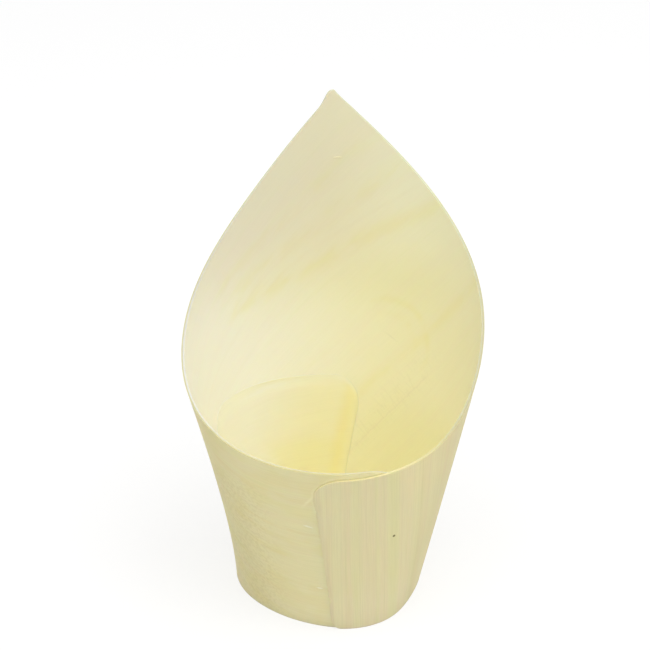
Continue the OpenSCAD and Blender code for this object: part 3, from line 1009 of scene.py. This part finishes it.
def bottom_material():
    """Yellower than the wall, with an orange band along a leg's right side.

    Towards its rim, a leg takes on the colour of the wall beside it. At its right edge it is
    lightened with painted light, against the shade of the pared edge.
    """
    material, g = new_graph("bottom_veneer")
    along, across, _ = g.marks("grain")
    from_right, from_rim, _ = g.marks("place")
    soft = g.swing(g.noise(along, across, *BOTTOM_WANDER), 2.4)
    band = g.math("ADD", across, soft)
    colour = g.mix(g.ramp(from_right, *PALE_FROM_RIGHT), BOTTOM_WARM, BOTTOM_PALE)
    colour = add_bands(g, colour, band, along, 0.25)
    orange = g.ramp(g.math("ADD", from_right, soft), *ORANGE_FROM_RIGHT, 0.0, 0.9)
    yellow = g.ramp(g.math("ADD", from_rim, soft), *YELLOW_FROM_RIM, 0.0, 0.6)
    colour = g.tint(g.tint(colour, orange, ORANGE), yellow, YELLOW)
    leftward = g.ramp(from_right, *LEFTWARD_FROM_RIGHT)
    fade = g.ramp(from_rim, 0.0, g.scaled(leftward, RIM_FADE_MORE_LEFT, RIM_FADE))
    colour = g.mix(fade, g.mix(leftward, TOP_EDGE, LEFT_EDGE), colour)
    # Painted light along the leg's right edge, against the shade of the pared edge
    colour = g.mix(g.ramp(from_right, *SIDE_FADE_FROM_RIGHT), colour, RIGHT_EDGE_LIGHT)
    finish_veneer(g, colour, fibre_height(g, along, band), BOTTOM_FURROWS)
    return material


def sliver_material():
    material, g = new_graph("sliver")
    inputs = {"Base Color": SLIVER_TONE, "Roughness": SLIVER_ROUGHNESS}
    shader = g.add("ShaderNodeBsdfPrincipled", inputs)
    g.add("ShaderNodeOutputMaterial", {"Surface": shader.outputs[0]})
    return material


def area_light(name, place, size, power):
    data = bpy.data.lights.new(name, "AREA")
    data.shape = "DISK"
    data.size = size
    data.energy = power
    light = bpy.data.objects.new(name, data)
    light.location = place
    aim = Vector(VIEW_TARGET) * MM - Vector(place)
    light.rotation_euler = aim.to_track_quat("-Z", "Y").to_euler()
    bpy.context.scene.collection.objects.link(light)


def seen(g):
    """1 for rays that show the background: from the camera, in gloss and through glass."""
    path = g.add("ShaderNodeLightPath", {}).outputs
    shown = g.math("MAXIMUM", path["Is Camera Ray"], path["Is Glossy Ray"])
    return g.math("MAXIMUM", shown, path["Is Transmission Ray"])


def build_world():
    world = bpy.data.worlds.new("studio")
    world.use_nodes = True
    bpy.context.scene.world = world
    g = Graph(world.node_tree)
    light = g.add("ShaderNodeBackground", {"Color": WHITE, "Strength": WORLD_LEVEL})
    backdrop = g.add("ShaderNodeBackground", {"Color": WHITE, "Strength": 1.0})
    mixed = g.add("ShaderNodeMixShader", {0: seen(g), 1: light.outputs[0], 2: backdrop.outputs[0]})
    g.add("ShaderNodeOutputWorld", {"Surface": mixed.outputs[0]})


def build_floor():
    half = FLOOR_HALF
    mesh = bpy.data.meshes.new("floor")
    corners = [(-half, -half, 0), (half, -half, 0), (half, half, 0), (-half, half, 0)]
    mesh.from_pydata(corners, [], [(0, 1, 2, 3)])
    floor = bpy.data.objects.new("floor", mesh)
    bpy.context.scene.collection.objects.link(floor)
    material, g = new_graph("floor")
    pale = g.add("ShaderNodeBsdfDiffuse", {"Color": FLOOR_PALE})
    dim = g.add("ShaderNodeBsdfDiffuse", {"Color": FLOOR_DIM})
    white = g.add("ShaderNodeEmission", {"Color": WHITE, "Strength": FLOOR_GLOW})
    shown = g.add("ShaderNodeAddShader", {0: dim.outputs[0], 1: white.outputs[0]})
    mixed = g.add("ShaderNodeMixShader", {0: seen(g), 1: pale.outputs[0], 2: shown.outputs[0]})
    g.add("ShaderNodeOutputMaterial", {"Surface": mixed.outputs[0]})
    mesh.materials.append(material)


def build_camera():
    data = bpy.data.cameras.new("camera")
    data.lens = LENS
    data.sensor_width = SENSOR
    data.clip_start = CLIP_START
    camera = bpy.data.objects.new("camera", data)
    down = math.radians(VIEW_DOWN)
    back = Vector((0, -math.cos(down), math.sin(down)))
    camera.location = (Vector(VIEW_TARGET) + back * VIEW_DISTANCE) * MM
    camera.rotation_euler = (math.pi / 2 - down, 0, 0)
    bpy.context.scene.collection.objects.link(camera)
    bpy.context.scene.camera = camera


build_camera()

sheet = build_sheet()
sheet.data.materials.append(sheet_material())
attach(sheet, "root")
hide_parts("rolled_sheet")

bottom = build_insert()
bottom.data.materials.append(bottom_material())
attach(bottom, "root")
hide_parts("bottom_insert")

slivers = build_slivers()
slivers.data.materials.append(sliver_material())
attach(slivers, "root")

build_floor()
build_world()
for lamp in LAMPS:
    area_light(*lamp)

bpy.context.scene.view_settings.view_transform = "Standard"
